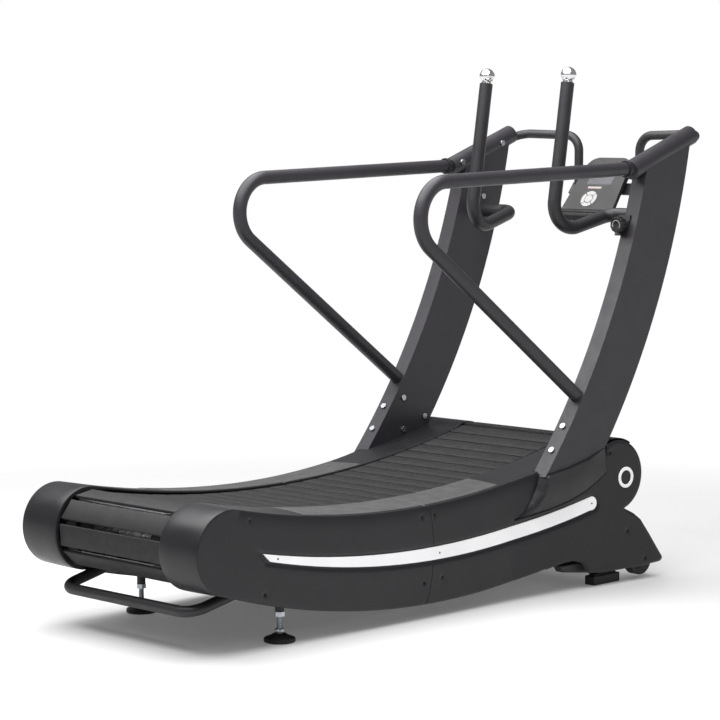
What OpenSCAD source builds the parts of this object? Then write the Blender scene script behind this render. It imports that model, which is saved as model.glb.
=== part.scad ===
// Curved manual treadmill: slatted running belt on two drums, bolted uprights, hairpin handrails,
// push grips, console and magnetic brake. Millimetres, +X forward, +Y to the runner's left, +Z up.
// The origin is on the floor under the middle of the machine's bounding box.

/* [Running belt] */
// Distance of the rear drum's axis behind the origin
rear_drum_x = -922; // [-924:1:-920]
// Height of the rear drum's axis
rear_drum_z = 272; // [270:1:274]
// Distance of the front drum's axis ahead of the origin
front_drum_x = 582; // [580:1:584]
// Height of the front drum's axis
front_drum_z = 328; // [326:1:330]
// Radius of the belt's outer face round a drum
belt_r = 101; // [100:0.5:102]
// Radius of the sunken running surface
run_r = 3300; // [3250:10:3350]
// Radius of the sagging lower run
sag_r = 3200; // [3150:10:3250]
// Length of one slat across the belt
slat_len = 410; // [400:1:410]
// Width of one slat along the belt
slat_w = 61; // [58:0.5:61.5]
// Number of slats round the loop
slat_count = 56; // [55:1:57]

/* [Covers] */
// Half width over the flat side panels
panel_y = 355; // [354:0.5:356]
// Thickness of a side panel
panel_t = 8; // [6:1:9]
// Angle at which the front of a side panel flares outward
flare = 4.5; // [4:0.5:5]
// Distance of the flare's bend ahead of the origin
flare_x = 150; // [145:1:155]
// Half width of the gap between the left and right covers
cover_y = 210; // [209:0.5:212]
// Thickness of the moulded caps
cap_t = 4; // [3:0.5:5]

/* [Uprights and rails] */
// Distance of an upright's middle plane from the centreline
upright_y = 360; // [358:1:362]
// Thickness of an upright, side to side
upright_w = 50; // [48:1:52]
// Diameter of the handrail and push grip tubes
rail_d = 40; // [38:1:40]
// Diameter of the console tubes
console_tube_d = 28; // [26:1:28]
// Centreline radius of the handrail's bend
rail_bend = 100; // [90:1:110]

/* [Console] */
// Slope of the console's face above the horizontal
console_tilt = 52; // [52:1:52]
// Radius of the round keypad
keypad_r = 29; // [28:0.5:30]

/* [Feet and wheels] */
// Diameter of a levelling foot's pad
foot_d = 84; // [76:1:90]
// Diameter of a levelling foot's stud
stud_d = 15; // [14:0.5:15]
// Radius of a transport wheel
wheel_r = 50; // [45:1:51]

/* [Hidden] */
$fn = 96;
// Facets of the very large arcs
big = 720;
// Gap between neighbouring pieces of one rigid assembly
gap = 0.5;
// Step between the outlines on each side of a panel's bend
bend_step = 0.3;
// Running clearance of a shaft in its bore, on the radius
run_fit = 0.05;

// Slat build-up, outside to inside: rubber tread, carrier, toothed belt
tread_t = 8;
carrier_t = 5;
drive_belt_t = 6;
slat_t = tread_t + carrier_t;
path_r = belt_r - slat_t;
pulley_r = path_r - drive_belt_t - 0.6;
pulley_y0 = 148;
pulley_y1 = 192;
belt_y0 = 152;
belt_y1 = 188;
shaft_r = 12.5;

rear_drum = [rear_drum_x, rear_drum_z];
front_drum = [front_drum_x, front_drum_z];

// Centre of a circle that passes above both drums at distance d from each axis
function above_centre(d) =
    let (m = (rear_drum + front_drum) / 2, c = front_drum - rear_drum, h = norm(c) / 2)
    m + [-c.y, c.x] / norm(c) * sqrt(d * d - h * h);
run_centre = above_centre(run_r + belt_r);
sag_centre = above_centre(sag_r - belt_r);
run_path_r = run_r + slat_t;
sag_path_r = sag_r - slat_t;

function heading(from, to) = atan2(to.y - from.y, to.x - from.x);
a_run_rear = heading(run_centre, rear_drum);
a_run_front = heading(run_centre, front_drum);
a_sag_rear = heading(sag_centre, rear_drum);
a_sag_front = heading(sag_centre, front_drum);

// The belt's loop as arcs: centre, radius, start angle, signed sweep
LOOP = [
    [run_centre, run_path_r, a_run_rear, a_run_front - a_run_rear],
    [front_drum, path_r, a_run_front + 180, a_sag_front - a_run_front - 180],
    [sag_centre, sag_path_r, a_sag_front, a_sag_rear - a_sag_front],
    [rear_drum, path_r, a_sag_rear, a_run_rear - a_sag_rear - 180]];
function arc_len(a) = a[1] * abs(a[3]) * PI / 180;
function loop_len(i = 0) = i == len(LOOP) ? 0 : arc_len(LOOP[i]) + loop_len(i + 1);
slat_pitch = loop_len() / slat_count;

// Place on the loop at travelled length s: [x, z, heading in degrees]
function on_loop(s, i = 0) =
    let (a = LOOP[i], n = arc_len(a))
    s > n ? on_loop(s - n, i + 1) :
    let (t = a[2] + a[3] * s / n)
    [a[0].x + a[1] * cos(t), a[0].y + a[1] * sin(t), t + 90 * sign(a[3])];
SLATS = [for (i = [0 : slat_count - 1]) on_loop((i + 0.5) * slat_pitch)];

// Corner of the toothed belt between slats i and i + 1, at depth d under the slats
function belt_corner(i, d) =
    let (a = SLATS[i], b = SLATS[(i + 1) % slat_count],
        u = [cos(a[2]), sin(a[2])], v = [cos(b[2]), sin(b[2])],
        p = [a.x, a.y] + d * [u.y, -u.x], q = [b.x, b.y] + d * [v.y, -v.x],
        k = u.x * v.y - u.y * v.x, w = q - p)
    abs(k) < 0.005 ? (p + q) / 2 : p + u * (w.x * v.y - w.y * v.x) / k;

// Covers: large arcs that lie above the machine
deck_centre = [-265, 3581];
deck_r = 3260;
edge_centre = [-275, 3162];
edge_r = 2850;
keel_centre = [-154, 2656];
keel_r = 2615;
seam_centre = [-574, 190];
seam_r = 400;
rear_cap_r = 113.5;
panel_end_r = 111.5;
nose = [578, 322];
nose_r = 105;
pad_rear_x = -645;
pad_seam_x = -205;
pad_t = 2;
deck_y1 = panel_y - panel_t - gap;
blade_gap_y = upright_y - upright_w / 2 - 3;

// Trim strip and the groove that holds it
strip_top = [-205, 3297];
strip_top_r = 3100;
strip_low = [-155, 2962];
strip_low_r = 2800;
strip_x0 = -807;
strip_end = [470, 251];
strip_end_r = 20;
groove_x0 = -832;
groove_end = [480, 244];
groove_end_r = 34;
groove_top_margin = 11;
groove_low_margin = 15;
groove_t = 4;
strip_t = 3;
ring_at = [610, 315];

// Side panel outlines, forward of the flare's bend
FOOT = [[290, 76], [364, 88], [401, 89], [434, 80], [463, 45], [564, 41], [696, 42], [770, 47],
    [779, 58], [761, 81], [716, 140], [681, 183], [651, 204], [612, 222], [578, 322],
    [500, 396], [290, 330]];
SHROUD = [[159, 235], [298, 253], [379, 270], [440, 290], [493, 317], [530, 338], [525, 372],
    [521, 413], [507, 408], [444, 385], [355, 367], [257, 355], [238, 313], [222, 286], [195, 254]];
SCREWS = [[-853, 346], [-802, 150], [-220, 285], [-211, 102], [-170, 286], [-139, 109],
    [622, 154], [698, 64], [544, 392]];
STRIP_SCREWS = [[-756, 237], [-149, 179], [470, 251]];
screw_r = 4;

// Uprights: each edge of the blade is one large arc
blade_rear = [-1362, 1733];
blade_rear_r = 2128;
blade_front = [-1206, 1690];
blade_front_r = 2149;
blade_t = 3;
head_rear = [655, 1212.6];
head_len = 300;
head_tilt = 20;
head_r = 29;
rail_r = rail_d / 2;
socket_fit = 0.2;
rail_top = [715, 1220];
rail_corner = [-430, 1184.5];
rail_foot = [446, 549];
tube_t = 2.5;
GRIP_BOLTS = [[772, 1122], [738, 1060], [808, 1055]];
HEAD_BOLTS = [[681, 1230], [866, 1288]];
BASE_BOLTS = [[419, 509], [513, 444], [419, 411]];
REAR_BOLT_Z = [484, 419];
bolt_r = 5;
bolt_head_r = 9;

// Push grip corners and bend radii
GRIP = [[603, 162, 1470], [531, 162, 1017], [768, 196, 1078], [761, 331, 1078]];
GRIP_BEND = [70, 42];
// Console tube corners and bend radii
CONSOLE_TUBE = [[885, 360, 1284], [990, 360, 1318], [996, 122, 1312], [996, 122, 1112]];
CONSOLE_BEND = [45, 50];
console_at = [888, 0, 1085];
console_t = 13;
keypad_u = 40;
keypad_y = 10;
key_gap = 0.6;

// Brake
knob_at = [628, -340, 1054];
knob_r = 25;
knob_shaft_r = 6;
disc_r = 84;
disc_y = -288;
disc_t = 6;
arm_pivot = [470, 380];
pivot_r = 6;
magnet_at = [484, 298];
magnet_r = 11;
cable_d = 6;
CABLE = [[674, -352, 1054], [680, -356, 1026], [672, -360, 980], [650, -360, 900], [620, -360, 820],
    [585, -360, 740], [545, -360, 660], [500, -360, 580], [465, -360, 510], [440, -360, 440],
    [432, -360, 380], [436, -359, 340], [440, -354, 315], [440, -342, 307], [440, -325, 306],
    [440, -296, 306]];

// Frame
plate_y0 = 240;
plate_t = 6;
CROSS_X = [-700, -420, -140, 140, 400];
cross_w = 40;
level_at = [-682, 280];
socket_z = 80;
stud_r = stud_d / 2;
wheel_at = [719, 350, 58];
wheel_w = 28;
front_foot_at = [568, 340];
lift_r = 15;
LIFT = [[-770, -268, 158], [-972, -262, 112], [-972, 262, 112], [-770, 268, 158]];
LIFT_BEND = [50, 50];
roller_r = 17.5;
roller_count = 11;
roller_depth = drive_belt_t + roller_r + 0.6;
rail_depth = 44;

// Height of a large arc's lower side at distance x
function low_side(c, r, x) = c.y - sqrt(r * r - (x - c.x) * (x - c.x));
// Forward side of a large arc at height z
function fore_side(c, r, z) = c.x + sqrt(r * r - (z - c.y) * (z - c.y));
function cross_z(x) = low_side(deck_centre, deck_r, x) - 120;
// Y of the flared panel's outer face at distance x
function flare_y(x) = panel_y + (x - flare_x) * tan(flare);

// Draws a side view (X to the right, Z up) between two distances across the machine
module across(y0, y1) {
    translate([0, y1, 0])
        rotate([90, 0, 0])
            linear_extrude(y1 - y0) children();
}

module at2(p, r) {
    translate(p) circle(r);
}

module on_right() {
    mirror([0, 1, 0]) children();
}

module both_sides() {
    children();
    on_right() children();
}

module flared() {
    translate([flare_x, panel_y, 0])
        rotate([0, 0, flare])
            translate([-flare_x, -panel_y, 0]) children();
}

// Cylinder between two points
module rod(a, b, r) {
    d = b - a;
    turn = atan2(d.y, d.x);
    tip = acos(d.z / norm(d));
    translate(a)
        rotate([0, tip, turn])
            cylinder(h = norm(d), r = r);
}

function unit(v) = v / norm(v);

// Places x, y and z axes along three perpendicular unit vectors
module along(p, x, y, z) {
    multmatrix([[x.x, y.x, z.x, p.x], [x.y, y.y, z.y, p.y], [x.z, y.z, z.z, p.z], [0, 0, 0, 1]])
        children();
}

// Tube bend of radius r1 at corner b between points a and c
module elbow(a, b, c, r1, r) {
    u = unit(b - a);
    v = unit(c - b);
    turn = acos(u * v);
    inward = unit(v - u * cos(turn));
    start = b - u * r1 * tan(turn / 2);
    along(start + inward * r1, -inward, u, cross(-inward, u))
        rotate_extrude(angle = turn)
            translate([r1, 0]) circle(r);
}

// Solid round bar through three or four corners with bends at the inner ones
// Bends are a hair thicker and the straights reach into them, so that they fuse cleanly
module bent_bar(p, bends, r) {
    n = len(p);
    lap = 0.5;
    cut = [for (i = [0 : n - 1]) i == 0 || i == n - 1 ? 0 :
        bends[i - 1] * tan(acos(unit(p[i] - p[i - 1]) * unit(p[i + 1] - p[i])) / 2)];
    for (i = [0 : n - 2])
        rod(p[i] + unit(p[i + 1] - p[i]) * (i == 0 ? 0 : cut[i] - lap),
            p[i + 1] - unit(p[i + 1] - p[i]) * (i == n - 2 ? 0 : cut[i + 1] - lap), r);
    for (i = [1 : n - 2])
        elbow(p[i - 1], p[i], p[i + 1], bends[i - 1], r + 0.05);
}

// Round tube with open ends
module bent_tube(p, bends, r, t) {
    n = len(p);
    longer = [for (i = [0 : n - 1]) i == 0 ? p[0] - unit(p[1] - p[0]) :
        i == n - 1 ? p[i] + unit(p[i] - p[i - 1]) : p[i]];
    difference() {
        bent_bar(p, bends, r);
        bent_bar(longer, bends, r - t);
    }
}

// ---- Frame ----

module side_plate_outline() {
    difference() {
        union() {
            intersection() {
                at2(keel_centre, keel_r - 55, $fn = big);
                translate([rear_drum_x, 100]) square([front_drum_x - rear_drum_x, 340]);
            }
            at2(rear_drum, 60);
            at2(front_drum, 60);
        }
        difference() {
            at2(deck_centre, deck_r + 32, $fn = big);
            at2(arm_pivot, 14);
            translate(arm_pivot - [14, 20]) square([28, 20]);
        }
        at2(rear_drum, 16);
        at2(front_drum, 16);
        for (x = [-560, -280, 0, 270])
            at2([x, cross_z(x) + 5], 42);
    }
}

// Plates inside the foot of an upright, which its base bolts clamp
module post_stub(y0, outline) {
    across(y0, y0 + 6)
        difference() {
            intersection() {
                blade_outline(6);
                polygon(outline);
            }
            at2([440, 306], 6);
            for (p = BASE_BOLTS)
                at2(p, bolt_r + 0.2);
        }
}

module frame_side() {
    difference() {
        union() {
            across(plate_y0, plate_y0 + plate_t) {
                side_plate_outline();
                polygon([[430, 215], [560, 215], [680, 205], [640, 33], [500, 33]]);
            }
            translate([-712, plate_y0 + plate_t, socket_z + 29]) cube([60, 64, 68]);
            translate([level_at.x, level_at.y, socket_z]) cylinder(h = 29.5, r = 12);
            translate([-800, plate_y0 + plate_t, 128]) cube([52, 40, 56]);
            translate([250, plate_y0 + plate_t, 225]) cube([170, 106, 37]);
            across(325, 352) polygon([[362, 74], [376, 56], [549, 33], [549, 74]]);
            across(320, 328) {
                polygon([[590, 40], [715, 40], [715, 76], [590, 73]]);
                at2([wheel_at.x, wheel_at.z], 18);
            }
        }
        translate([level_at.x, level_at.y, 0]) cylinder(h = 200, r = stud_r + run_fit);
        bent_bar(LIFT, LIFT_BEND, lift_r + socket_fit);
        across(300, 340) at2([wheel_at.x, wheel_at.z], 6.2);
    }
    post_stub(341, [[200, 250], [480, 250], [600, 450], [500, 525], [340, 525]]);
    post_stub(373, [[290, 300], [415, 300], [600, 450], [500, 525], [340, 525]]);
    translate([310, 346, 300]) cube([90, 28, 6]);
}

module frame_weldment() {
    color("dimgray") {
        both_sides() frame_side();
        for (x = CROSS_X)
            translate([x - cross_w / 2, -plate_y0, cross_z(x) - cross_w / 2])
                difference() {
                    cube([cross_w, 2 * plate_y0, cross_w]);
                    translate([3, -1, 3]) cube([cross_w - 6, 2 * plate_y0 + 2, cross_w - 6]);
                }
        translate([540, -352, 33])
            difference() {
                cube([60, 704, 40]);
                translate([3, -1, 3]) cube([54, 706, 34]);
            }
        // Fixed pin of the magnet arm and the stop of the brake cable
        rod([arm_pivot.x, -plate_y0 - 2, arm_pivot.y], [arm_pivot.x, -312, arm_pivot.y], pivot_r);
        translate([434, -296, 300]) cube([12, 296 - plate_y0 - 2, 16]);
    }
}

module lift_bar() {
    color([0.2, 0.2, 0.22]) bent_tube(LIFT, LIFT_BEND, lift_r, tube_t);
}

// ---- Covers ----

module panel_band(wider = 0) {
    difference() {
        at2(keel_centre, keel_r + wider, $fn = big);
        at2(edge_centre, edge_r - wider, $fn = big);
    }
}

module rear_outline() {
    difference() {
        union() {
            intersection() {
                panel_band();
                polygon([[-897.6, 380.8], [-956.2, 165.9], [-950, 0], [-100, 0], [-100, 400]]);
            }
            at2(rear_drum, panel_end_r);
        }
        difference() {
            translate([seam_centre.x, 0]) square([600, 450]);
            at2(seam_centre, seam_r - gap / 2, $fn = 240);
        }
    }
}

// Outlines of the flared half are a hair wider, so that the two halves fuse cleanly at the bend
module front_outline(wider = 0) {
    difference() {
        union() {
            intersection() {
                panel_band(wider);
                translate([-300, 0]) square([610, 450]);
            }
            polygon(FOOT);
            at2(nose, nose_r);
        }
        at2(seam_centre, seam_r + gap / 2, $fn = 240);
        offset(delta = 1.6, chamfer = true) polygon(SHROUD);
        at2(edge_centre, edge_r - wider, $fn = big);
        // Room for the upright where it meets the panel's top and the nose
        translate([254, 345]) square([80, 60]);
        polygon([[515, 395], [531, 395], [536, 440], [515, 440]]);
    }
}

// Region between two large arcs, closed by a slanted cut at the rear and a round end
module strip_outline(grow_top, grow_low, x0, end, end_r) {
    intersection() {
        difference() {
            at2(strip_low, strip_low_r + grow_low, $fn = big);
            at2(strip_top, strip_top_r - grow_top, $fn = big);
        }
        polygon([[x0, 400], [x0, 256], [x0 + 28, 230], [x0 + 28, 0], [end.x, 0], [end.x, 400]]);
    }
    at2(end, end_r);
}

module groove_outline(wider = 0) {
    strip_outline(groove_top_margin + wider, groove_low_margin + wider, groove_x0, groove_end,
        groove_end_r);
}

module screw_holes() {
    for (p = SCREWS)
        at2(p, screw_r + 0.3);
    for (p = STRIP_SCREWS)
        at2(p, 2.8);
}

module rear_side_panel() {
    color([0.22, 0.22, 0.24])
        difference() {
            across(panel_y - panel_t, panel_y) difference() {
                rear_outline();
                screw_holes();
            }
            across(panel_y - groove_t, panel_y + 1) groove_outline();
        }
}

module front_half(ahead) {
    intersection() {
        children();
        translate([ahead ? flare_x : flare_x + 0.7 - 1100, 0]) square([1100, 500]);
    }
}

module front_side_panel() {
    color([0.22, 0.22, 0.24]) {
        difference() {
            across(panel_y - panel_t, panel_y)
                front_half(false) difference() {
                    front_outline();
                    screw_holes();
                }
            across(panel_y - groove_t, panel_y + 1) groove_outline();
        }
        flared() difference() {
            across(panel_y - panel_t, panel_y)
                front_half(true) difference() {
                    front_outline(bend_step);
                    screw_holes();
                }
            across(panel_y - groove_t, panel_y + 1) groove_outline(bend_step);
        }
    }
}

// Curved sheet that follows the deck's arc and one drum cover's arc
module deck_band(grow) {
    difference() {
        at2(deck_centre, deck_r + grow, $fn = big);
        at2(deck_centre, deck_r, $fn = big);
    }
}

module ring_part(c, r, t) {
    difference() {
        at2(c, r);
        at2(c, r - t);
    }
}

module rear_cap_side(t) {
    difference() {
        ring_part(rear_drum, rear_cap_r, t);
        polygon([rear_drum, [rear_drum_x + 60, rear_drum_z + 300], [rear_drum_x + 400, 300],
            [rear_drum_x + 400, 0], [rear_drum_x - 40, 0]]);
    }
    intersection() {
        deck_band(t);
        polygon([rear_drum, [rear_drum_x + 60, rear_drum_z + 300], [pad_seam_x - gap / 2, 500],
            [pad_seam_x - gap / 2, 200], [rear_drum_x + 2, 290]]);
    }
}

module rear_cap() {
    color([0.2, 0.2, 0.21]) {
        across(cover_y, deck_y1) rear_cap_side(cap_t);
        across(cover_y, cover_y + 3) rear_cap_side(12);
    }
}

module front_cap_side(t) {
    intersection() {
        deck_band(t);
        translate([pad_seam_x + gap / 2, 200]) square([nose.x - pad_seam_x - gap / 2 - 18, 300]);
    }
    difference() {
        ring_part(nose, nose_r, t);
        polygon([nose, nose + [-27, 120], nose + [-200, 120], nose + [-200, -150], nose + [38, -150]]);
    }
    difference() {
        ring_part(nose, nose_r + 6, 7);
        polygon([nose, nose + [40, 200], nose + [300, 200], nose + [300, -200], nose + [-300, -200],
            nose + [-300, 200], nose + [-34, 200]]);
    }
}

// Plan of the space between the side panels, minus the upright and its shroud
module cap_plan() {
    difference() {
        polygon([[pad_seam_x, cover_y], [720, cover_y], [720, flare_y(720) - panel_t - 1],
            [flare_x, deck_y1], [pad_seam_x, deck_y1]]);
        translate([236, blade_gap_y]) square([300, 100]);
    }
}

module front_cap() {
    color([0.2, 0.2, 0.21]) {
        intersection() {
            across(cover_y, 420) front_cap_side(cap_t);
            translate([0, 0, 100]) linear_extrude(400) cap_plan();
        }
        across(cover_y, cover_y + 3) front_cap_side(10);
    }
}

module step_pads() {
    color([0.12, 0.12, 0.13])
        both_sides()
            for (span = [[pad_rear_x, pad_seam_x - 1, 0], [pad_seam_x + 1, 114, 8]])
                intersection() {
                    across(cover_y + 4, deck_y1 - 4) difference() {
                        at2(deck_centre, deck_r, $fn = big);
                        at2(deck_centre, deck_r - pad_t, $fn = big);
                    }
                    linear_extrude(500)
                        polygon([[span[0], 200], [span[1], 200], [span[1], cover_y + 4],
                            [span[1] - span[2], 350], [span[0], 350]]);
                }
}

module blade_outline(shrink) {
    difference() {
        at2(blade_front, blade_front_r - shrink, $fn = big);
        at2(blade_rear, blade_rear_r + shrink, $fn = big);
    }
}

// The blister is a face plate with a rim that stops at the flared panel and clears the upright
module upright_shroud() {
    outer = upright_y + upright_w / 2 + 7;
    color([0.22, 0.22, 0.24]) {
        across(outer - 5, outer) polygon(SHROUD);
        difference() {
            across(flare_y(240) - panel_t, outer - 4.9) difference() {
                polygon(SHROUD);
                polygon([[176, 242], [298, 258], [378, 275], [437, 295], [490, 322], [523, 341],
                    [516, 420], [440, 400], [264, 380], [243, 312], [227, 284], [200, 256]]);
            }
            across(300, upright_y + upright_w / 2 + 1) blade_outline(-2);
        }
    }
}

module front_guard() {
    color([0.2, 0.2, 0.21])
        across(-cover_y + 2, cover_y - 2) difference() {
            ring_part(front_drum, belt_r + 14, 3);
            polygon([front_drum, front_drum + [300, 60], front_drum + [300, 300],
                front_drum + [-300, 300], front_drum + [-300, -300], front_drum + [-40, -300]]);
        }
}

module strip_half(ahead) {
    across(panel_y - groove_t, panel_y - groove_t + strip_t)
        front_half(ahead) difference() {
            strip_outline(0, 0, strip_x0, strip_end, strip_end_r);
            for (p = STRIP_SCREWS)
                at2(p, 2.8);
        }
}

module trim_strips() {
    color("white")
        both_sides() {
            strip_half(false);
            flared() strip_half(true);
        }
}

module side_rings() {
    color("white")
        both_sides() flared()
            across(panel_y + 0.1, panel_y + 3) difference() {
                at2(ring_at, 31);
                at2(ring_at, 21);
            }
}

module panel_screws() {
    color([0.1, 0.1, 0.1])
        both_sides() {
            across(panel_y - panel_t, panel_y - 3)
                for (p = SCREWS)
                    if (p.x < flare_x)
                        at2(p, screw_r);
            flared() across(panel_y - panel_t, panel_y - 3)
                for (p = SCREWS)
                    if (p.x > flare_x)
                        at2(p, screw_r);
            across(panel_y - panel_t, panel_y)
                for (p = STRIP_SCREWS)
                    if (p.x < flare_x)
                        at2(p, 2.5);
            flared() across(panel_y - panel_t, panel_y)
                for (p = STRIP_SCREWS)
                    if (p.x > flare_x)
                        at2(p, 2.5);
        }
}

// ---- Uprights, rails and grips ----

RAIL = [[rail_top.x, upright_y, rail_top.y], [rail_corner.x, upright_y, rail_corner.y],
    [rail_foot.x, upright_y, rail_foot.y]];

module blade_span() {
    polygon([[250, 350], [455, 322], [1100, 900], [1100, 1374], [600, 1192], [540, 900]]);
}

module head_bar(r) {
    translate([head_rear.x, upright_y, head_rear.y])
        rotate([0, 90 - head_tilt, 0])
            cylinder(h = head_len, r = r);
}

module rear_bolt(z, r, h0, h1) {
    x = fore_side(blade_rear, blade_rear_r, z);
    lean = atan2(z - blade_rear.y, x - blade_rear.x);
    translate([x, upright_y, z])
        rotate([0, 90 - lean, 0])
            translate([0, 0, h0]) cylinder(h = h1 - h0, r = r);
}

module upright_blade() {
    inner = upright_y - upright_w / 2;
    outer = upright_y + upright_w / 2;
    difference() {
        union() {
            across(inner, outer) intersection() {
                blade_outline(0);
                blade_span();
            }
            head_bar(head_r);
        }
        across(inner + blade_t, outer - blade_t) intersection() {
            blade_outline(blade_t);
            polygon([[200, 300], [500, 200], [1100, 900], [1100, 1310], [700, 1165], [500, 900]]);
        }
        bent_bar(RAIL, [rail_bend], rail_r + socket_fit);
        bent_bar(CONSOLE_TUBE, CONSOLE_BEND, console_tube_d / 2 + socket_fit);
        across(inner - 5, inner + blade_t + 1)
            for (p = concat(BASE_BOLTS, GRIP_BOLTS))
                at2(p, bolt_r + 0.2);
        across(inner - 5, inner + 8)
            for (p = HEAD_BOLTS)
                at2(p, bolt_r + 0.2);
        for (z = REAR_BOLT_Z)
            rear_bolt(z, bolt_r + 0.2, -5, 8);
    }
}

module upright_left() {
    color([0.24, 0.24, 0.26]) upright_blade();
}

module upright_right() {
    color([0.24, 0.24, 0.26])
        difference() {
            on_right() upright_blade();
            rod([600, knob_at.y, knob_at.z], [680, knob_at.y, knob_at.z], knob_shaft_r + 1);
        }
}

module handrail() {
    color([0.24, 0.24, 0.26]) bent_tube(RAIL, [rail_bend], rail_r, tube_t);
}

module rail_collars() {
    a = RAIL[1] + unit(RAIL[0] - RAIL[1]) * 1060;
    b = RAIL[1] + unit(RAIL[0] - RAIL[1]) * 1068;
    color([0.08, 0.08, 0.08])
        both_sides() difference() {
            rod(a, b, rail_r + 5);
            rod(a - (b - a), b + (b - a), rail_r + 0.1);
        }
}

module grip() {
    inner = upright_y - upright_w / 2;
    color([0.12, 0.12, 0.13]) {
        bent_tube(GRIP, GRIP_BEND, rail_r, tube_t);
        difference() {
            across(inner - 8, inner - 0.1) difference() {
                polygon([[748, 1040], [790, 1034], [826, 1050], [826, 1066], [786, 1136], [766, 1140],
                    [754, 1128], [722, 1072], [722, 1050]]);
                for (p = GRIP_BOLTS)
                    at2(p, bolt_r + 0.2);
            }
            bent_bar(GRIP, GRIP_BEND, rail_r - tube_t);
        }
    }
}

module grip_knobs() {
    up = unit(GRIP[0] - GRIP[1]);
    color("silver")
        both_sides() {
            rod(GRIP[0] + up * 0.1, GRIP[0] + up * 10, 16);
            translate(GRIP[0] + up * 24) sphere(23, $fn = 64);
        }
}

module console_tube() {
    color([0.2, 0.2, 0.22]) bent_tube(CONSOLE_TUBE, CONSOLE_BEND, console_tube_d / 2, tube_t);
}

// ---- Console: local x runs up the face, y across it and z out of it ----

module on_console() {
    translate(console_at) rotate([0, -console_tilt, 0]) children();
}

module console_outline() {
    polygon([[0, -102], [145, -89], [160, -89], [160, 89], [145, 89], [0, 102]]);
    for (s = [-1, 1])
        translate([156, 44 * s]) circle(45);
    translate([150, -44]) square([51, 88]);
}

module console_shell() {
    color([0.16, 0.16, 0.17])
        on_console() difference() {
            union() {
                translate([0, 0, -console_t]) linear_extrude(console_t) console_outline();
                translate([6, 0, -30]) linear_extrude(30 - console_t + 0.01) intersection() {
                    translate([0, -78]) square([195, 156]);
                    translate([-6, 0]) console_outline();
                }
            }
            translate([12, -72, -27]) cube([176, 144, 14]);
            translate([keypad_u, keypad_y, -6]) cylinder(h = 10, r = keypad_r + key_gap);
            translate([97, -48, -2]) cube([38, 98, 5]);
            translate([80, -17, -2]) cube([8, 54, 5]);
        }
}

module console_screen() {
    color([0.45, 0.45, 0.48])
        on_console() translate([97 + 0.1, -48 + 0.1, -2]) cube([37.8, 97.8, 1.6]);
}

module status_bar() {
    color([0.8, 0.78, 0.78])
        on_console() translate([80.1, -16.9, -2]) cube([7.8, 53.8, 2.4]);
}

module key_ring(a0) {
    color("silver")
        on_console() translate([keypad_u, keypad_y, -3.5]) linear_extrude(5) difference() {
            circle(keypad_r);
            circle(keypad_r - 13);
            difference() {
                square(200, center = true);
                polygon([for (a = [a0 - 42, a0 - 20, a0 + 20, a0 + 42]) 90 * [cos(a), sin(a)],
                    [0, 0]]);
            }
        }
}

module key_center() {
    color("silver")
        on_console() translate([keypad_u, keypad_y, -3.5]) {
            cylinder(h = 5.5, r = keypad_r - 15);
        }
}

module console_bracket() {
    color([0.2, 0.2, 0.22])
        difference() {
            on_console() translate([84, -138, -37]) cube([42, 276, 6.9]);
            both_sides() bent_bar(CONSOLE_TUBE, CONSOLE_BEND, console_tube_d / 2 + 0.1);
        }
}

module console_tray() {
    color([0.14, 0.14, 0.15])
        across(-98, 98) polygon([[886, 1084.5], [862, 1080], [862, 1074], [842, 1066], [835, 1070],
            [833, 1052], [852, 1046], [900, 1060], [906, 1068], [899, 1075]]);
}

// ---- Brake ----

module brake_knob() {
    color([0.15, 0.15, 0.16])
        translate(knob_at) rotate([0, 90, 0]) {
            difference() {
                translate([0, 0, -12]) cylinder(h = 24, r = knob_r);
                for (k = [0 : 11])
                    rotate(30 * k) translate([knob_r + 2, 0, -13]) cylinder(h = 26, r = 4.5);
            }
            translate([0, 0, 11.9]) cylinder(h = 40, r = knob_shaft_r);
        }
}

module knob_bracket() {
    color([0.12, 0.12, 0.12])
        difference() {
            across(knob_at.y - 19, knob_at.y + 24) difference() {
                intersection() {
                    translate([600, 1022]) square([90, 60]);
                    at2(blade_rear, blade_rear_r - 0.2, $fn = big);
                }
                at2(blade_rear, blade_rear_r - 5, $fn = big);
            }
            rod([600, knob_at.y, knob_at.z], [680, knob_at.y, knob_at.z], knob_shaft_r + run_fit);
        }
}

module magnet_arm() {
    color([0.3, 0.3, 0.32])
        difference() {
            union() {
                for (y = [disc_y - disc_t - 14, disc_y + 8])
                    across(y, y + 6) {
                        at2(arm_pivot, 12);
                        polygon([[461, 380], [479, 380], [498, 300], [486, 284], [455, 284], [455, 312]]);
                    }
                across(disc_y - disc_t - 14, disc_y + 14)
                    polygon([[455, 312], [461, 312], [461, 284], [455, 284]]);
            }
            across(-330, -250) at2(arm_pivot, pivot_r + run_fit);
        }
}

module brake_magnets() {
    color([0.6, 0.6, 0.62])
        for (y = [disc_y - disc_t - 8, disc_y + 3])
            across(y, y + 4.9) at2(magnet_at, magnet_r);
}

module brake_disc() {
    color("silver")
        across(disc_y - disc_t, disc_y) difference() {
            at2(front_drum, disc_r);
            at2(front_drum, shaft_r + 0.05);
            for (k = [0 : 5])
                at2(front_drum + 44 * [cos(60 * k), sin(60 * k)], 14);
        }
}

// Rings of a swept cord round each route point, eight sides
function ring_at_point(i, p, r) =
    let (d = unit(p[min(i + 1, len(p) - 1)] - p[max(i - 1, 0)]), side = unit(cross(d, [0, 1, 0.2])),
        up = cross(d, side))
    [for (k = [0 : 7]) p[i] + r * (cos(45 * k) * side + sin(45 * k) * up)];

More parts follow.
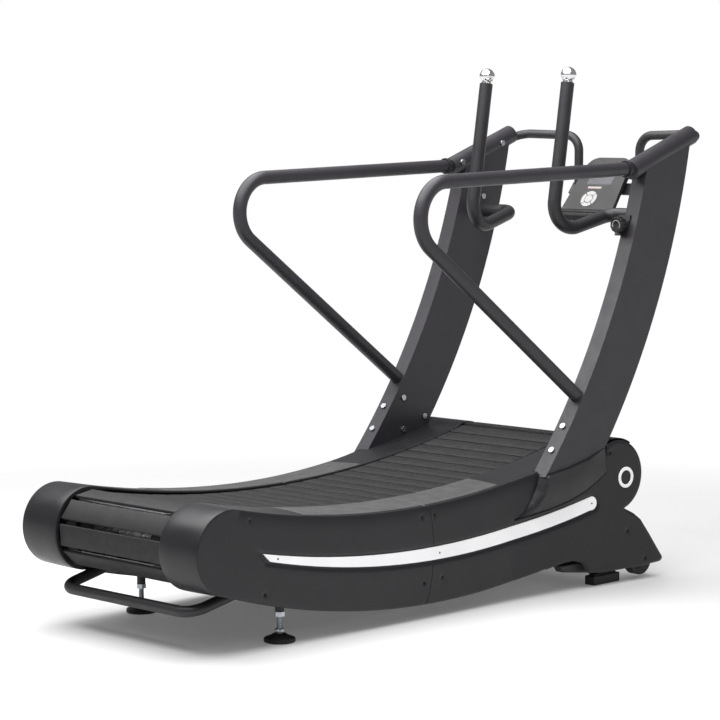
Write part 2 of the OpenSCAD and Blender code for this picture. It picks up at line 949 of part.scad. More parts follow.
module swept_cord(p, r) {
    n = len(p);
    rings = [for (i = [0 : n - 1]) each ring_at_point(i, p, r)];
    sides = [for (i = [0 : n - 2], k = [0 : 7])
        [8 * i + k, 8 * i + (k + 1) % 8, 8 * i + 8 + (k + 1) % 8, 8 * i + 8 + k]];
    ends = [[for (k = [0 : 7]) 7 - k], [for (k = [0 : 7]) 8 * (n - 1) + k]];
    polyhedron(rings, concat(sides, ends), convexity = 4);
}

module brake_cable() {
    color([0.05, 0.05, 0.05]) swept_cord(CABLE, cable_d / 2);
}

// ---- Belt, drums and rollers ----

module each_slat() {
    for (s = SLATS)
        translate([s.x, s.y]) rotate(s[2]) children();
}

module slat_treads() {
    color([0.1, 0.1, 0.1])
        across(-slat_len / 2, slat_len / 2)
            each_slat() translate([-slat_w / 2, carrier_t]) square([slat_w, tread_t]);
}

module slat_carriers() {
    color([0.5, 0.5, 0.5]) {
        across(-slat_len / 2 + 5, slat_len / 2 - 5)
            each_slat() translate([-slat_w / 2 + 4, 0.1]) square([slat_w - 8, carrier_t - 0.2]);
        across(-140, 140)
            each_slat() translate([-3, -12]) square([6, 12.5]);
    }
}

module drive_belts() {
    color([0.08, 0.08, 0.08])
        for (s = [[-belt_y1, -belt_y0], [belt_y0, belt_y1]])
            across(s[0], s[1]) difference() {
                polygon([for (i = [0 : slat_count - 1]) belt_corner(i, 0.1)]);
                polygon([for (i = [0 : slat_count - 1]) belt_corner(i, drive_belt_t)]);
            }
}

// Angle on the running arc of roller k
function roller_angle(k) = a_run_rear + 2.2 + (a_run_front - a_run_rear - 4.4) * k / (roller_count - 1);
function roller_place(k) =
    run_centre + (run_path_r + roller_depth) * [cos(roller_angle(k)), sin(roller_angle(k))];

module guide_rails() {
    color([0.45, 0.45, 0.47])
        both_sides() across(190.5, 196.5) difference() {
            union() {
                intersection() {
                    difference() {
                        at2(run_centre, run_path_r + rail_depth, $fn = big);
                        at2(run_centre, run_path_r + 12, $fn = big);
                    }
                    polygon([run_centre, for (a = [roller_angle(0) - 0.5, roller_angle(roller_count - 1) + 0.5])
                        run_centre + 1.2 * run_r * [cos(a), sin(a)]]);
                }
                for (x = CROSS_X)
                    translate([x - 12, cross_z(x) + cross_w / 2]) square([24, 40]);
            }
            for (k = [0 : roller_count - 1])
                at2(roller_place(k), 5.2);
        }
}

module guide_rollers() {
    color([0.75, 0.75, 0.75])
        both_sides()
            for (k = [0 : roller_count - 1]) {
                across(155, 185) at2(roller_place(k), roller_r, $fn = 48);
                across(184.9, 199) at2(roller_place(k), 5, $fn = 32);
            }
}

module pulley(c) {
    both_sides() {
        across(pulley_y0, pulley_y1) ring_part(c, pulley_r, 8);
        across(166, 174) ring_part(c, pulley_r - 7.9, pulley_r - 7.9 - 26);
        across(156, 184) ring_part(c, 27, 27 - shaft_r - 0.05);
    }
}

module front_pulleys() {
    color([0.35, 0.35, 0.37]) pulley(front_drum);
}

module rear_pulleys() {
    color([0.35, 0.35, 0.37]) pulley(rear_drum);
}

module front_shaft() {
    color("silver") across(-300, 278) at2(front_drum, shaft_r);
}

module rear_shaft() {
    color("silver") across(-278, 278) at2(rear_drum, shaft_r);
}

module bearing_blocks() {
    color([0.4, 0.4, 0.42])
        both_sides()
            for (c = [rear_drum, front_drum])
                across(plate_y0 + plate_t + 0.05, plate_y0 + plate_t + 28) difference() {
                    union() {
                        at2(c, 32);
                        translate(c + [-46, -12]) square([92, 24]);
                    }
                    at2(c, shaft_r + run_fit);
                }
}

// ---- Feet, wheels and fasteners ----

module level_foot() {
    translate([level_at.x, level_at.y, 0]) {
        color([0.06, 0.06, 0.06]) {
            cylinder(h = 12, r = foot_d / 2);
            translate([0, 0, 11.9]) cylinder(h = 10, r1 = foot_d / 2, r2 = 16);
        }
        color("silver") {
            translate([0, 0, 21.8]) cylinder(h = 124, r = stud_r);
            translate([0, 0, 26]) cylinder(h = 9, r = 13, $fn = 6);
        }
    }
}

module level_nuts() {
    color("silver")
        both_sides() translate([level_at.x, level_at.y, socket_z - 12.1]) difference() {
            cylinder(h = 12, r = 14, $fn = 6);
            translate([0, 0, -1]) cylinder(h = 14, r = stud_r + run_fit);
        }
}

module front_feet() {
    color([0.06, 0.06, 0.06])
        both_sides() {
            translate([509, 322, 0]) cube([118, 36, 27]);
            translate([520, 328, 26.9]) cube([96, 24, 6]);
        }
}

module transport_wheel() {
    color([0.08, 0.08, 0.08])
        across(wheel_at.y - wheel_w / 2, wheel_at.y + wheel_w / 2) difference() {
            at2([wheel_at.x, wheel_at.z], wheel_r);
            at2([wheel_at.x, wheel_at.z], 6 + run_fit);
        }
}

module button_bolt(p, y, depth) {
    across(y - 5, y) at2(p, bolt_head_r);
    across(y - 0.1, y + depth) at2(p, bolt_r);
}

module zinc_bolts() {
    inner = upright_y - upright_w / 2;
    color("silver")
        both_sides() {
            for (p = BASE_BOLTS)
                button_bolt(p, inner - 0.1, 16);
            for (p = HEAD_BOLTS)
                button_bolt(p, upright_y - head_r - 0.1, 8);
            for (p = GRIP_BOLTS)
                button_bolt(p, inner - 8.1, 14);
            for (z = REAR_BOLT_Z) {
                rear_bolt(z, bolt_head_r, -5.1, -0.1);
                rear_bolt(z, bolt_r, -0.2, 7);
            }
            // Axle bolts of the transport wheels
            across(312, 320) at2([wheel_at.x, wheel_at.z], 10, $fn = 6);
            across(319.9, 372) at2([wheel_at.x, wheel_at.z], 6);
            across(366, 374) at2([wheel_at.x, wheel_at.z], 10, $fn = 6);
        }
}

frame_weldment();
lift_bar();
rear_side_panel();  // rear_side_panel_left
on_right() rear_side_panel();  // rear_side_panel_right
front_side_panel();  // front_side_panel_left
on_right() front_side_panel();  // front_side_panel_right
rear_cap();  // rear_cap_left
on_right() rear_cap();  // rear_cap_right
front_cap();  // front_cap_left
on_right() front_cap();  // front_cap_right
step_pads();
upright_shroud();  // upright_shroud_left
on_right() upright_shroud();  // upright_shroud_right
front_guard();
upright_left();
upright_right();
handrail();  // handrail_left
on_right() handrail();  // handrail_right
rail_collars();
grip();  // grip_left
on_right() grip();  // grip_right
grip_knobs();
console_tube();  // console_tube_left
on_right() console_tube();  // console_tube_right
console_bracket();
console_shell();
console_screen();
console_tray();
status_bar();
key_center();
key_ring(0);  // key_upper
key_ring(90);  // key_left
key_ring(180);  // key_lower
key_ring(270);  // key_right
brake_knob();
knob_bracket();
magnet_arm();
brake_magnets();
brake_cable();
slat_treads();
slat_carriers();
drive_belts();
guide_rails();
guide_rollers();
front_shaft();
front_pulleys();
brake_disc();
rear_shaft();
rear_pulleys();
bearing_blocks();
level_foot();  // level_foot_left
on_right() level_foot();  // level_foot_right
level_nuts();
front_feet();
transport_wheel();  // transport_wheel_left
on_right() transport_wheel();  // transport_wheel_right
trim_strips();
side_rings();
panel_screws();
zinc_bolts();
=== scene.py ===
"""Studio scene of the curved manual treadmill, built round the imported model."""

import math

import bmesh
import bpy
import numpy as np
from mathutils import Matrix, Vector
from mathutils.geometry import delaunay_2d_cdt


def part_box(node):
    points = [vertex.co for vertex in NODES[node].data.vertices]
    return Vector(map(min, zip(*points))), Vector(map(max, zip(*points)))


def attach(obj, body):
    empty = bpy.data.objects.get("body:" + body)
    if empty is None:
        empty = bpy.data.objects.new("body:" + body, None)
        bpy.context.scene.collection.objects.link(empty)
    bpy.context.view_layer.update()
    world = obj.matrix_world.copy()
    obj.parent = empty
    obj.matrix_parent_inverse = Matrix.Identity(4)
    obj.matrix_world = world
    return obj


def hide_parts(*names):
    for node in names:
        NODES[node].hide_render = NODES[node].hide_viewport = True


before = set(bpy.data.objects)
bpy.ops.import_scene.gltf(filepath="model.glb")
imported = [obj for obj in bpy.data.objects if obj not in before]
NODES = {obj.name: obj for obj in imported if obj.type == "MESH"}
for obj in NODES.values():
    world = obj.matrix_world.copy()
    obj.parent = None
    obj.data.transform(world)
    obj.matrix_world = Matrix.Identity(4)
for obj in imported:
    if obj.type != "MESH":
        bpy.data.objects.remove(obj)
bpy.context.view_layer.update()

MM = 0.001

# ---------------------------------------------------------------- materials


def socket(shader, **values):
    """Sets constant values on the shader's own sockets."""
    for name, value in values.items():
        shader.inputs[name.replace("_", " ")].default_value = value


class Surface:
    """A procedural material: mottled colour, uneven gloss and a fine relief."""

    def __init__(self, name, colour, roughness, metallic=0.0, sheen=0.5):
        self.material = bpy.data.materials.new(name)
        self.material.use_nodes = True
        self.tree = self.material.node_tree
        self.shader = self.tree.nodes["Principled BSDF"]
        self.place = self.node("ShaderNodeTexCoord").outputs["Object"]
        self.colour = colour
        self.normal = None
        socket(self.shader, Metallic=metallic, Roughness=roughness)
        self.shader.inputs["Specular IOR Level"].default_value = sheen
        self.shader.inputs["Base Color"].default_value = (*colour, 1)

    def node(self, kind, **settings):
        made = self.tree.nodes.new(kind)
        for name, value in settings.items():
            setattr(made, name, value)
        return made

    def link(self, a, b):
        self.tree.links.new(a, b)

    def noise(self, scale, detail=3.0, stretch=(1, 1, 1)):
        mapping = self.node("ShaderNodeMapping")
        mapping.inputs["Scale"].default_value = stretch
        self.link(self.place, mapping.inputs["Vector"])
        noise = self.node("ShaderNodeTexNoise")
        noise.inputs["Scale"].default_value = scale
        noise.inputs["Detail"].default_value = detail
        self.link(mapping.outputs["Vector"], noise.inputs["Vector"])
        return noise.outputs["Fac"]

    def ranged(self, value, low, high, start=0.3, end=0.7):
        span = self.node("ShaderNodeMapRange")
        for name, number in zip(
            ("From Min", "From Max", "To Min", "To Max"), (start, end, low, high)
        ):
            span.inputs[name].default_value = number
        self.link(value, span.inputs["Value"])
        return span.outputs["Result"]

    def tint(self, scale, amount, stretch=(1, 1, 1)):
        ramp = self.node("ShaderNodeValToRGB")
        ends = ramp.color_ramp.elements
        ends[0].position, ends[1].position = 0.3, 0.7
        ends[0].color = (*(c * (1 - amount) for c in self.colour), 1)
        ends[1].color = (*(min(1, c * (1 + amount)) for c in self.colour), 1)
        self.link(self.noise(scale, 5, stretch), ramp.inputs["Fac"])
        self.link(ramp.outputs["Color"], self.shader.inputs["Base Color"])
        return self

    def gloss(self, scale, low, high, stretch=(1, 1, 1)):
        self.link(
            self.ranged(self.noise(scale, 4, stretch), low, high),
            self.shader.inputs["Roughness"],
        )
        return self

    def relief(self, scale, distance, strength=1.0, detail=2.0, stretch=(1, 1, 1)):
        bump = self.node("ShaderNodeBump")
        bump.inputs["Strength"].default_value = strength
        bump.inputs["Distance"].default_value = distance
        self.link(self.noise(scale, detail, stretch), bump.inputs["Height"])
        if self.normal is not None:
            self.link(self.normal, bump.inputs["Normal"])
        self.normal = bump.outputs["Normal"]
        self.link(self.normal, self.shader.inputs["Normal"])
        return self


def powder_coat(name, colour, roughness):
    made = Surface(name, colour, roughness, sheen=0.35).tint(9, 0.07)
    made.gloss(30, roughness - 0.05, roughness + 0.07)
    return made.relief(1400, 0.00012, 0.5).relief(260, 0.0002, 0.25)


def moulding(name, colour, roughness, sheen=0.3):
    made = Surface(name, colour, roughness, sheen=sheen).tint(6, 0.06)
    made.gloss(18, roughness - 0.04, roughness + 0.06)
    return made.relief(1900, 0.0001, 0.45)


def rubber(name, colour, roughness):
    made = Surface(name, colour, roughness, sheen=0.3).tint(24, 0.16)
    made.gloss(45, roughness - 0.07, roughness + 0.08)
    return made.relief(1100, 0.00025, 0.5)


def metal(name, colour, roughness, brushed=(1, 1, 1)):
    made = Surface(name, colour, roughness, 1.0).tint(30, 0.05, brushed)
    made.gloss(60, roughness * 0.8, roughness * 1.3 + 0.01, brushed)
    return made.relief(500, 0.00005, 0.3, 2, brushed)


LOOKS = {
    "frame_paint": powder_coat("frame_paint", (0.022, 0.022, 0.024), 0.42),
    "upright_paint": powder_coat("upright_paint", (0.026, 0.024, 0.029), 0.40),
    "grip_paint": powder_coat("grip_paint", (0.019, 0.019, 0.021), 0.38),
    "cover_plastic": moulding("cover_plastic", (0.013, 0.0125, 0.0145), 0.36),
    "pad_rubber": rubber("pad_rubber", (0.060, 0.060, 0.061), 0.54),
    "belt_rubber": rubber("belt_rubber", (0.018, 0.018, 0.018), 0.56),
    "black_plastic": moulding("black_plastic", (0.012, 0.012, 0.013), 0.36),
    "chrome": metal("chrome", (0.86, 0.86, 0.88), 0.05),
    "console_plastic": moulding("console_plastic", (0.009, 0.009, 0.010), 0.40),
    "lcd": moulding("lcd", (0.035, 0.035, 0.045), 0.25),
    "light_lens": moulding("light_lens", (0.30, 0.25, 0.24), 0.30),
    "key_silver": moulding("key_silver", (0.30, 0.30, 0.295), 0.34),
    "magnet": metal("magnet", (0.55, 0.55, 0.57), 0.22),
    "cable_sheath": moulding("cable_sheath", (0.012, 0.012, 0.012), 0.45),
    "aluminium": metal("aluminium", (0.62, 0.62, 0.64), 0.32, (1, 0.05, 1)),
    "drive_belt": rubber("drive_belt", (0.012, 0.012, 0.012), 0.6),
    "bearing_steel": metal("bearing_steel", (0.55, 0.55, 0.56), 0.25),
    "cast_iron": metal("cast_iron", (0.13, 0.13, 0.14), 0.5),
    "foot_rubber": rubber("foot_rubber", (0.014, 0.014, 0.014), 0.5),
    "wheel_rubber": rubber("wheel_rubber", (0.016, 0.016, 0.016), 0.55),
    "white_trim": moulding("white_trim", (0.90, 0.90, 0.91), 0.32),
    "black_steel": moulding("black_steel", (0.003, 0.003, 0.003), 0.6),
    "knob_gloss": moulding("knob_gloss", (0.01, 0.01, 0.011), 0.12, 0.5),
    "zinc_steel": metal("zinc_steel", (0.42, 0.44, 0.47), 0.26),
}
LOOKS = {name: made.material for name, made in LOOKS.items()}


# -------------------------------------------------------------- mesh helpers


def new_piece(name, bm, slot, body="chassis", replaces=(), angle=35, unit=1):
    """Object from a bmesh: shaded smooth but for edges sharper than angle."""
    if unit != 1:
        bmesh.ops.scale(bm, vec=(unit,) * 3, verts=bm.verts)
    mesh = bpy.data.meshes.new(name)
    bmesh.ops.recalc_face_normals(bm, faces=bm.faces)
    for face in bm.faces:
        face.smooth = True
    for edge in bm.edges:
        if len(edge.link_faces) == 2:
            edge.smooth = edge.calc_face_angle() < math.radians(angle)
    bm.to_mesh(mesh)
    bm.free()
    made = bpy.data.objects.new(name, mesh)
    bpy.context.scene.collection.objects.link(made)
    mesh.materials.append(LOOKS[slot])
    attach(made, body)
    if replaces:
        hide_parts(*replaces)
    return made


def cad_bmesh(node):
    """A CAD node's mesh with its flat faces joined up again."""
    bm = bmesh.new()
    bm.from_mesh(NODES[node].data)
    bmesh.ops.remove_doubles(bm, verts=bm.verts, dist=1e-5)
    bmesh.ops.dissolve_limit(
        bm, angle_limit=math.radians(0.2), verts=bm.verts, edges=bm.edges
    )
    return bm


def bridge(bm, rings):
    """Walls of quads from each closed ring of vertices to the next."""
    for a, b in zip(rings, rings[1:]):
        for k in range(len(a)):
            j = (k + 1) % len(a)
            bm.faces.new((a[k], a[j], b[j], b[k]))


def bridge_and_cap(bm, rings):
    """The same, closed by a flat face at each end."""
    bridge(bm, rings)
    bm.faces.new(list(reversed(rings[0])))
    bm.faces.new(rings[-1])


def refined(node, slot, bevel, segments=3):
    """The CAD node's shape with its hard edges rounded off by a bevel in metres."""
    angle = 32
    made = new_piece(node + "_shape", cad_bmesh(node), slot, "chassis", (node,), angle)
    rounding = made.modifiers.new("rounding", "BEVEL")
    rounding.width = bevel
    rounding.segments = segments
    rounding.limit_method = "ANGLE"
    rounding.angle_limit = math.radians(angle)
    rounding.use_clamp_overlap = True
    made.modifiers.new("normals", "WEIGHTED_NORMAL").keep_sharp = True
    return made


# ---------------------------------------------------------------- dimensions
# In millimetres: X forward, Y to the left, Z up. Circles are (centre x, centre z, radius).

# The deck's middle, the covers' upper edge, the seam of front and rear covers, the front drum
DECK = (-265, 3581, 3260)
TOP_EDGE = (-275, 3162, 2850)
SEAM = (-574, 190, 400)
NOSE = (578, 322, 105)
REAR_DRUM, REAR_CAP_R = (-922, 272), 113.5
# Middles of the two drums as the belt runs round them: (x, z)
BELT_HUBS = (-922, 272), (582, 328)
# Outer face and wall of the side panels, and where and how steeply the front ones flare outward
PANEL_Y, PANEL_T = 355, 8
FLARE_X, FLARE = 150, math.tan(math.radians(4.5))
# The deck covers' edge beside the belt
COVER_Y, COVER_WALL = 210, 2.5
# The front cap's narrow stretch beside the upright: (rear x, front x, outer y)
UPRIGHT_GAP = (258, 536, 333.5)
# Each tread pad: (rear x, front x, how much shorter its outer edge is)
PAD_ENDS = ((-645, -206, 0), (-204, 114, 8))
# The trim strip's edges, and its channel, which starts at a slant and ends in a half circle
STRIP_TOP, STRIP_LOW = (-205, 3297, 3100), (-155, 2962, 2800)
GROOVE_X0, GROOVE_Z0, GROOVE_LEAN = -832, 264, 0.686
GROOVE_NORMAL = (0.825, 0.566)
GROOVE_END, GROOVE_T = (473, 249, 31), 4
GROOVE_MARGINS = (11, 15)


def low_side(circle, x):
    """Height of a large circle's lower side."""
    cx, cz, r = circle
    return cz - np.sqrt(r * r - (x - cx) ** 2)


def flare_out(x):
    """How far the flared covers stand out at distance x."""
    return np.maximum(0, x - FLARE_X) * FLARE


def smooth(t):
    t = np.clip(t, 0, 1)
    return t * t * (3 - 2 * t)


def round_over(distance, reach, depth):
    """Drop of an elliptical edge at a distance from its outline."""
    t = 1 - np.clip(distance / reach, 0, 1)
    return depth * (1 - np.sqrt(np.clip(1 - t * t, 0, 1)))


# ------------------------------------------------------------ moulded panels

# How far past FLARE_X the bend lies on a panel's inner face
BEND_OFFSET = 0.6
# Rounded edges: (reach across the face, depth)
UPPER_ROLL, TIGHT_ROLL, HOLE_ROLL = (42, 7.5), (1.6, 1.6), (2.2, 1.6)
# The lower edge's reach, less at the rear drum; the drum's end of the panel starts at this x
LOWER_REACH, DRUM_REACH, DRUM_END_X = 12, 5, -830
# Width of the channel's sloping wall
GROOVE_WALL = 10


def groove_inside(x, z):
    """Distance inside the outline of the trim strip's channel, negative outside."""
    high = np.hypot(x - STRIP_TOP[0], z - STRIP_TOP[1]) - STRIP_TOP[2] + GROOVE_MARGINS[0]
    low = STRIP_LOW[2] + GROOVE_MARGINS[1] - np.hypot(x - STRIP_LOW[0], z - STRIP_LOW[1])
    slant = GROOVE_NORMAL[0] * (x - GROOVE_X0) + GROOVE_NORMAL[1] * (z - GROOVE_Z0)
    band = np.minimum(np.minimum(high, low), np.minimum(slant, GROOVE_END[0] - x))
    end = GROOVE_END[2] - np.hypot(x - GROOVE_END[0], z - GROOVE_END[1])
    return np.maximum(band, end)


def edge_distance(points, edges):
    """Distance from each point to the nearest of the edges, an array of [ax, az, bx, bz]."""
    best = np.full(len(points), 1e9)
    for ax, az, bx, bz in edges:
        d = np.array((bx - ax, bz - az))
        t = np.clip(((points - (ax, az)) @ d) / max(d @ d, 1e-9), 0, 1)
        gap = points - (ax, az) - t[:, None] * d
        best = np.minimum(best, np.hypot(gap[:, 0], gap[:, 1]))
    return best


def ring_edges(ring):
    """A closed ring's edges as an array of [ax, az, bx, bz]."""
    return np.array([(*a, *b) for a, b in zip(ring, ring[1:] + ring[:1])])


def beside_bend(ring):
    """The part of a ring that isn't on the panel's bend, or None if the ring isn't on it."""
    on_bend = [abs(x - FLARE_X - BEND_OFFSET) < 0.3 for x, _ in ring]
    if sum(on_bend) < 2:
        return None
    first = next(k for k in range(len(ring)) if on_bend[k - 1] and not on_bend[k])
    turned_ring = ring[first:] + ring[:first]
    return [p for p in turned_ring if abs(p[0] - FLARE_X - BEND_OFFSET) >= 0.3]


def inner_loops(node, side):
    """Outline and holes of a side panel, from its inner face: loops of (x, z), longest first."""
    bm = cad_bmesh(node)
    inner = [f for f in bm.faces if f.normal.y * side < -0.95]
    chosen = set(inner)
    steps = {}
    for face in inner:
        for loop in face.loops:
            if not any(f in chosen and f is not face for f in loop.edge.link_faces):
                steps[loop.vert] = loop.link_loop_next.vert
    loops = []
    while steps:
        vert, after = steps.popitem()
        ring = [vert]
        while after in steps:
            ring.append(after)
            after = steps.pop(after)
        loops.append([(v.co.x / MM, v.co.z / MM) for v in ring])
    bm.free()
    halves = [chain for chain in map(beside_bend, loops) if chain]
    loops = [ring for ring in loops if not beside_bend(ring)]
    if halves:
        loops.append(halves[0] + halves[1])
    return sorted(loops, key=lambda ring: -sum(map(math.dist, ring, ring[1:])))


def subdivided(ring, longest):
    """The ring with extra points, so that no edge is over the longest."""
    points = []
    for a, b in zip(ring, ring[1:] + ring[:1]):
        n = max(1, math.ceil(math.dist(a, b) / longest))
        points += [(a[0] + (b[0] - a[0]) * k / n, a[1] + (b[1] - a[1]) * k / n) for k in range(n)]
    return points


def offset_points(ring, distance):
    """Points beside a ring, towards the inside."""
    area = sum(a[0] * b[1] - b[0] * a[1] for a, b in zip(ring, ring[1:] + ring[:1]))
    sign = 1 if area > 0 else -1
    moved = []
    for a, p, b in zip(ring[-1:] + ring[:-1], ring, ring[1:] + ring[:1]):
        dx, dz = b[0] - a[0], b[1] - a[1]
        length = math.hypot(dx, dz)
        moved.append((p[0] - sign * dz / length * distance, p[1] + sign * dx / length * distance))
    return moved


def groove_points(x_from, x_to):
    """Rows of points down the channel's sloping walls, from its brink to its floor."""
    xs = np.arange(x_from, x_to, 7.0)
    channel = xs[(xs > GROOVE_X0 - 20) & (xs < GROOVE_END[0])]
    turn = np.radians(np.arange(-100, 101, 6))
    z = np.arange(208, 276, 4)
    points = []
    for part in (0, 0.12, 0.25, 0.38, 0.5, 0.62, 0.75, 0.88, 1):
        inward = part * GROOVE_WALL
        for circle in (
            (STRIP_TOP[0], STRIP_TOP[1], STRIP_TOP[2] - GROOVE_MARGINS[0] + inward),
            (STRIP_LOW[0], STRIP_LOW[1], STRIP_LOW[2] + GROOVE_MARGINS[1] - inward),
        ):
            points.append(np.column_stack((channel, low_side(circle, channel))))
        r = GROOVE_END[2] - inward
        arc = GROOVE_END[0] + r * np.cos(turn), GROOVE_END[1] + r * np.sin(turn)
        points.append(np.column_stack(arc))
        slant = GROOVE_X0 + inward / GROOVE_NORMAL[0] - (z - GROOVE_Z0) * GROOVE_LEAN
        points.append(np.column_stack((slant, z)))
    return points


def side_panel(node, side, crisp):
    """A side panel with rolled edges and a soft channel; crisp(x, z) says where edges are tight."""
    loops = inner_loops(node, side)
    outline = subdivided(loops[0], 9)
    holes = loops[1:]
    edges = ring_edges(outline)
    x, z = ((edges[:, :2] + edges[:, 2:]) / 2).T
    tight = np.array([crisp(*middle) for middle in zip(x, z)])
    upper = (z > low_side(STRIP_TOP, x)) & (x > DRUM_END_X - 50) & ~tight
    upper &= np.hypot(x - NOSE[0], z - NOSE[1]) > NOSE[2] + 3
    lower = ~tight & ~upper
    points = groove_points(min(p[0] for p in outline), max(p[0] for p in outline))

    def face(at):
        drum_share = smooth((DRUM_END_X - at[:, 0]) / 80)
        reach = LOWER_REACH - (LOWER_REACH - DRUM_REACH) * drum_share
        drop = round_over(edge_distance(at, edges[lower]), reach, reach * 0.55)
        drop = np.maximum(drop, round_over(edge_distance(at, edges[upper]), *UPPER_ROLL))
        if tight.any():
            drop = np.maximum(drop, round_over(edge_distance(at, edges[tight]), *TIGHT_ROLL))
        drop += GROOVE_T * smooth(groove_inside(at[:, 0], at[:, 1]) / GROOVE_WALL)
        for hole in holes:
            centre = np.mean(hole, 0)
            gap = np.hypot(*(at - centre).T) - math.dist(hole[0], centre)
            drop += round_over(gap, *HOLE_ROLL)
        return PANEL_Y + flare_out(at[:, 0]) - drop

    def clear(grid):
        """Where the even grid keeps off the channel's walls, which have rows of their own."""
        return np.abs(groove_inside(grid[:, 0], grid[:, 1]) - GROOVE_WALL / 2) > 11

    def back(x, z):
        return PANEL_Y - PANEL_T + float(flare_out(x))

    return moulded(node, side, outline, holes, points, face, back, clear)


def moulded(node, side, outline, holes, points, face, back, clear=None):
    """A moulded cover over an outline with round holes, with rims reaching to its back.

    face(points) and back(x, z) give the distances from the middle plane, and clear(grid) says
    which points of an even grid to keep.
    """
    edges = ring_edges(outline)
    points = list(points)
    for distance in (0.4, 1.2, 2.6, 4.5, 7, 10, 14, 20, 27, 34):
        ring = np.array(offset_points(outline, distance))
        points.append(ring[edge_distance(ring, edges) > distance * 0.93])
    low, high = edges[:, :2].min(0), edges[:, :2].max(0)
    cell = min(13, (high - low).min() / 22)
    grid = np.stack(
        np.meshgrid(np.arange(low[0], high[0], cell), np.arange(low[1], high[1], cell)), -1
    ).reshape(-1, 2)
    points.append(grid[clear(grid)] if clear else grid)

    inside = np.concatenate(points)
    inside = inside[edge_distance(inside, edges) > 0.35]
    bores = [(np.mean(hole, 0), math.dist(hole[0], np.mean(hole, 0))) for hole in holes]
    for centre, radius in bores:
        inside = inside[np.hypot(*(inside - centre).T) > radius + 1.2]
    spacing = 0.9
    keep = {(round(p[0] / spacing), round(p[1] / spacing)): tuple(p) for p in inside}
    flat, constraints = [], []
    for ring in [outline] + holes:
        start = len(flat)
        flat += ring
        constraints += [(start + k, start + (k + 1) % len(ring)) for k in range(len(ring))]
    verts, _, faces, *_ = delaunay_2d_cdt(
        [Vector(p) for p in flat + list(keep.values())], constraints, [], 1, 1e-4
    )
    at = np.array([tuple(v) for v in verts])

    bm = bmesh.new()
    made = [bm.verts.new((x, side * v, z)) for (x, z), v in zip(at, face(at))]
    for corners in faces:
        middle = at[list(corners)].mean(0)
        if all(math.dist(middle, centre) > radius for centre, radius in bores):
            bm.faces.new([made[i] for i in corners])
    bmesh.ops.delete(bm, geom=[v for v in bm.verts if not v.link_faces], context="VERTS")
    rim = [e for e in bm.edges if e.is_boundary]
    for v in bmesh.ops.extrude_edge_only(bm, edges=rim)["geom"]:
        if isinstance(v, bmesh.types.BMVert):
            v.co.y = side * back(v.co.x, v.co.z)
    return new_piece(node + "_skin", bm, "cover_plastic", replaces=(node,), unit=MM)


# The blister beside the upright's foot: its low, top and rear edges, and its face's distance out
BLISTER_LOW = (
    (159, 235), (298, 253), (379, 270), (440, 290), (493, 317), (530, 338), (525, 372), (521, 413),
)
BLISTER_TOP = ((521, 413), (507, 408), (444, 385), (355, 367), (257, 355))
BLISTER_REAR = ((257, 355), (238, 313), (222, 286), (195, 254), (159, 235))
BLISTER_Y, BLISTER_TOP_BACK, BLISTER_TUCK = 392, 385.4, 6
# How far in from the low edge the face stands fully proud
BLISTER_RISE = 75


def chain_distance(at, chain):
    """Distance from each point to an open chain of edges."""
    return edge_distance(at, np.array([(*a, *b) for a, b in zip(chain, chain[1:])]))


def shroud(node, side):
    """The blister: flush along its low edge, proud beside the upright, tucked in at its rear."""
    outline = subdivided(list(BLISTER_LOW[:-1] + BLISTER_TOP[:-1] + BLISTER_REAR[:-1]), 5)

    def face(at):
        panel = PANEL_Y + flare_out(at[:, 0])
        share = np.clip(chain_distance(at, BLISTER_LOW) / BLISTER_RISE, 0, 1)
        proud = panel + (BLISTER_Y - panel) * (1 - (1 - share) ** 2)
        reach = 9 + 20 * np.clip((345 - at[:, 1]) / 100, 0, 1)  # the tuck is longer lower down
        tuck = smooth(1 - chain_distance(at, BLISTER_REAR) / reach)
        y = proud + (panel - BLISTER_TUCK - proud) * tuck
        return y - round_over(chain_distance(at, BLISTER_TOP), 2, 1.8)

    def back(x, z):
        on_top = chain_distance(np.array([(x, z)]), BLISTER_TOP)[0] < 0.5
        if on_top and x > BLISTER_TOP[-1][0] + 2:
            return BLISTER_TOP_BACK
        return PANEL_Y - PANEL_T + float(flare_out(x))

    return moulded(node, side, outline, [], [], face, back)


# ------------------------------------------------------------- deck and caps


def grid_piece(name, rows, slot, replaces=(), thick=None, angle=40):
    """A sheet of quads through rows of points in millimetres."""
    bm = bmesh.new()
    made = [[bm.verts.new(p) for p in row] for row in rows]
    for a, b in zip(made, made[1:]):
        for k in range(len(a) - 1):
            bm.faces.new((a[k], a[k + 1], b[k + 1], b[k]))
    bmesh.ops.remove_doubles(bm, verts=bm.verts, dist=0.01)
    piece = new_piece(name, bm, slot, "chassis", replaces, angle, MM)
    if thick:
        shell = piece.modifiers.new("wall", "SOLIDIFY")
        shell.thickness = thick * MM
        shell.offset = -1
    return piece


def drum_path(centre, radius, start, end, step=4):
    """Points and outward normals round a drum cover, angles in degrees."""
    count = max(2, round(abs(end - start) / step))
    turn = np.radians(np.linspace(start, end, count + 1))
    normal = np.column_stack((np.cos(turn), np.sin(turn)))
    return np.array(centre) + radius * normal, normal


def deck_path(x0, x1, step=12):
    """Points and inward normals, towards the deck's centre, along the deck."""
    xs = np.linspace(x0, x1, max(2, round(abs(x1 - x0) / step)) + 1)
    points = np.column_stack((xs, low_side(DECK, xs)))
    inward = np.array(DECK[:2]) - points
    return points, inward / np.linalg.norm(inward, axis=1)[:, None]


